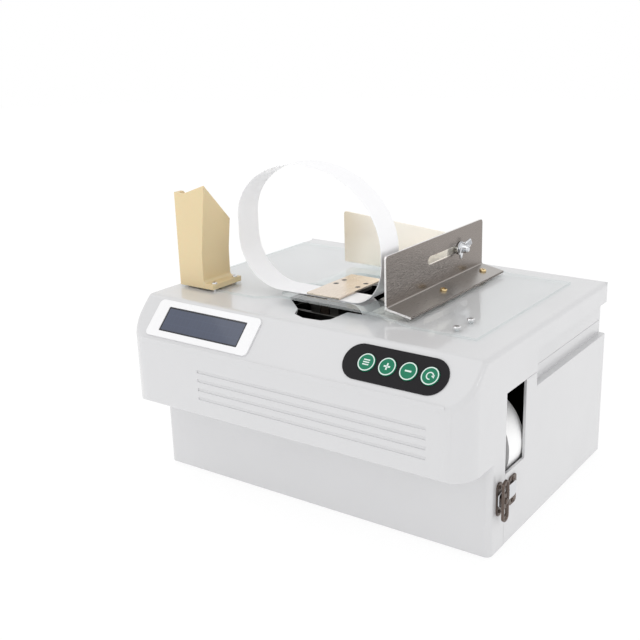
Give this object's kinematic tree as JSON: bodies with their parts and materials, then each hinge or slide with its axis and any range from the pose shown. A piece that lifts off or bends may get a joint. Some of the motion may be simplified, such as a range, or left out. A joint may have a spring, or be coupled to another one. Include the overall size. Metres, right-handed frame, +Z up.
{
  "type": "tape banding machine",
  "caption": "Desktop banding machine that wraps a bundle in paper tape and heat seals it under an anvil on a clear table, with fence, stop, loop guide, display and buttons.",
  "frame": {"origin": "under the middle of the machine's outline, on the surface it stands on", "axes": "+X to the machine's right as its user faces it from the front, +Y to its back, +Z up"},
  "size_m": [0.389, 0.3152, 0.325],
  "materials": {
    "casing": "light warm grey moulded plastic, satin gloss",
    "rubber": "matt black rubber",
    "steel": "bare sheet steel",
    "dark_steel": "blackened steel",
    "stainless": "polished stainless steel",
    "nickel": "bright nickel plate",
    "brass": "bare brass",
    "bezel": "white moulding",
    "display": "dark display glass",
    "board": "green circuit board",
    "keypad": "black label sheet",
    "button": "green button cap",
    "acrylic": "clear acrylic sheet",
    "cream": "cream moulding",
    "tape": "white glazed paper tape",
    "card": "brown paper core",
    "black_plastic": "black moulding",
    "motor": "dark painted motor",
    "heater": "heated press block"
  },
  "bodies": {
    "housing": {"base_plate": "steel", "rubber_feet": "rubber", "rear_housing": "casing", "housing_hinges": "steel", "hinge_pins": "steel", "latch_keeper": "dark_steel", "tape_loop": "tape", "anvil_rod": "nickel", "rod_bracket": "steel", "head_frame": "steel", "head_guides": "dark_steel", "cam_bushes": "brass", "motor_bracket": "steel", "head_motor": "motor", "feed_bracket": "steel", "feed_motor": "motor", "roll_spindle": "steel", "tape_web": "tape", "power_supply": "steel", "control_board": "board", "fan_frame": "black_plastic", "power_inlet": "black_plastic", "switch_body": "black_plastic", "frame_screws": "steel"},
    "latch_wing": {"latch_wing": "dark_steel"},
    "latch_link": {"latch_link": "nickel"},
    "fun_button": {"fun_button": "button"},
    "plus_button": {"plus_button": "button"},
    "minus_button": {"minus_button": "button"},
    "reset_button": {"reset_button": "button"},
    "stop_plate": {"stop_plate": "stainless"},
    "thumb_screw": {"thumb_screw": "nickel"},
    "anvil": {"anvil_plate": "nickel", "anvil_carriage": "dark_steel", "anvil_screws": "dark_steel"},
    "cam_shaft": {"cam_shaft": "nickel", "press_cams": "dark_steel"},
    "left_clamp": {"left_clamp": "nickel"},
    "heater_block": {"heater_block": "heater"},
    "right_clamp": {"right_clamp": "nickel"},
    "feed_roller": {"feed_roller": "rubber"},
    "pinch_roller": {"pinch_roller": "nickel"},
    "tape_roll": {"tape_roll": "tape", "paper_core": "card", "roll_hub": "black_plastic"},
    "fan_rotor": {"fan_rotor": "black_plastic"},
    "switch_rocker": {"switch_rocker": "black_plastic"},
    "cover": {"upper_cover": "casing", "cover_hinges": "steel", "latch_base": "dark_steel", "display_bezel": "bezel", "display_glass": "display", "display_board": "board", "keypad_panel": "keypad", "keypad_board": "board", "clear_table": "acrylic", "table_screws": "steel", "fence": "stainless", "fence_screws": "brass", "loop_guide": "cream"}
  },
  "joints": [
    {"name": "cover_hinge", "type": "hinge", "parent": "housing", "child": "cover", "pos_m": [0, 0.1546, 0.15], "axis": [-1, 0, 0], "range_deg": [0, 60], "deforming": ["tape_loop"]},
    {"name": "latch_turn", "type": "hinge", "parent": "cover", "child": "latch_wing", "pos_m": [0.1855, -0.0956, 0.055], "axis": [1, 0, 0], "range_deg": [0, 180]},
    {"name": "latch_pull", "type": "slide", "parent": "cover", "child": "latch_link", "axis": [0, 1, 0], "range_m": [0, 0.003]},
    {"name": "fun_press", "type": "slide", "parent": "cover", "child": "fun_button", "axis": [0, 0.7193, -0.6947], "range_m": [0, 0.001], "stiffness_N_per_m": 2000},
    {"name": "plus_press", "type": "slide", "parent": "cover", "child": "plus_button", "axis": [0, 0.7193, -0.6947], "range_m": [0, 0.001], "stiffness_N_per_m": 2000},
    {"name": "minus_press", "type": "slide", "parent": "cover", "child": "minus_button", "axis": [0, 0.7193, -0.6947], "range_m": [0, 0.001], "stiffness_N_per_m": 2000},
    {"name": "reset_press", "type": "slide", "parent": "cover", "child": "reset_button", "axis": [0, 0.7193, -0.6947], "range_m": [0, 0.001], "stiffness_N_per_m": 2000},
    {"name": "stop_slide", "type": "slide", "parent": "cover", "child": "stop_plate", "axis": [0, 1, 0], "range_m": [-0.055, 0.02]},
    {"name": "thumb_turn", "type": "hinge", "parent": "stop_plate", "child": "thumb_screw", "pos_m": [0.0555, 0.0669, 0.2294], "axis": [1, 0, 0], "range_deg": [-170, 170]},
    {"name": "anvil_slide", "type": "slide", "parent": "housing", "child": "anvil", "axis": [0, 1, 0], "range_m": [0, 0.031]},
    {"name": "cam_turn", "type": "hinge", "parent": "housing", "child": "cam_shaft", "pos_m": [-0.0045, -0.0536, 0.112], "axis": [1, 0, 0], "range_deg": [0, 90]},
    {"name": "left_clamp_lift", "type": "slide", "parent": "housing", "child": "left_clamp", "axis": [0, 0, 1], "range_m": [0, 0.0036], "stiffness_N_per_m": 30, "springref_m": 0.0457},
    {"name": "heater_lift", "type": "slide", "parent": "housing", "child": "heater_block", "axis": [0, 0, 1], "range_m": [0, 0.0036], "stiffness_N_per_m": 30, "springref_m": 0.01573},
    {"name": "right_clamp_lift", "type": "slide", "parent": "housing", "child": "right_clamp", "axis": [0, 0, 1], "range_m": [0, 0.0036], "stiffness_N_per_m": 30, "springref_m": 0.0457},
    {"name": "feed_spin", "type": "hinge", "parent": "housing", "child": "feed_roller", "pos_m": [0.0565, -0.0536, 0.12595], "axis": [0, 1, 0], "continuous": true},
    {"name": "pinch_spin", "type": "hinge", "parent": "housing", "child": "pinch_roller", "pos_m": [0.0565, -0.0536, 0.14385], "axis": [0, 1, 0], "continuous": true},
    {"name": "roll_spin", "type": "hinge", "parent": "housing", "child": "tape_roll", "pos_m": [0.1319, -0.0536, 0.086], "axis": [0, 1, 0], "continuous": true},
    {"name": "fan_spin", "type": "hinge", "parent": "housing", "child": "fan_rotor", "pos_m": [-0.0245, 0.1394, 0.05], "axis": [0, 1, 0], "continuous": true},
    {"name": "power_rock", "type": "hinge", "parent": "housing", "child": "switch_rocker", "pos_m": [-0.1545, 0.1499, 0.09], "axis": [1, 0, 0], "range_deg": [-16, 0]}
  ],
  "couplings": [
    {"joint": "latch_turn", "follows": "latch_pull", "rad_per_m": 1047.2},
    {"joint": "cam_turn", "follows": "left_clamp_lift", "rad_per_m": 436.33},
    {"joint": "heater_lift", "follows": "left_clamp_lift", "ratio": 1},
    {"joint": "right_clamp_lift", "follows": "left_clamp_lift", "ratio": 1},
    {"joint": "pinch_spin", "follows": "feed_spin", "ratio": -1.4286}
  ]
}
